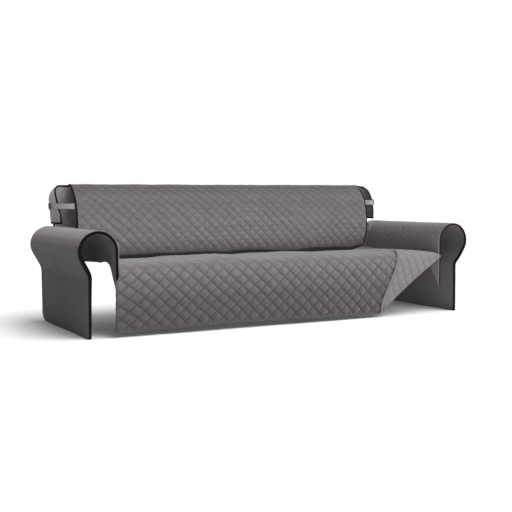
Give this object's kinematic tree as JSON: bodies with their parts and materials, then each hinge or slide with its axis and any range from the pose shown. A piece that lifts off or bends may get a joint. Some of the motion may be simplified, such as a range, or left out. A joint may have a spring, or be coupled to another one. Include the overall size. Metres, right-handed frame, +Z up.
{
  "type": "sofa cover",
  "caption": "Quilted grey slip-on sofa cover for a wide sofa with rolled arms, with straps round the ends of its back and its right front corner folded back.",
  "frame": {"origin": "on the floor, in the middle of the cover's footprint", "axes": "+X along the sofa to the right seen from in front of the seat, +Y to the back, +Z up"},
  "size_m": [2.799, 1.0381, 0.8793],
  "materials": {
    "seat_cloth": "brushed cloth quilted in diamonds, lighter on its reverse",
    "back_cloth": "brushed cloth quilted in diamonds",
    "arm_cloth": "brushed cloth, nearly smooth",
    "edging": "dark elastic edging",
    "strap": "grey elastic webbing",
    "slider": "matt dark plastic"
  },
  "bodies": {
    "root": {"back_panel": "back_cloth", "seat_panel": "seat_cloth", "arm_panel_left": "arm_cloth", "arm_panel_right": "arm_cloth", "arm_band_left": "edging", "arm_band_right": "edging", "back_tape_left": "edging", "back_tape_right": "edging", "end_strap_left": "strap", "end_strap_right": "strap", "strap_slider_left": "slider", "strap_slider_right": "slider"}
  },
  "joints": []
}
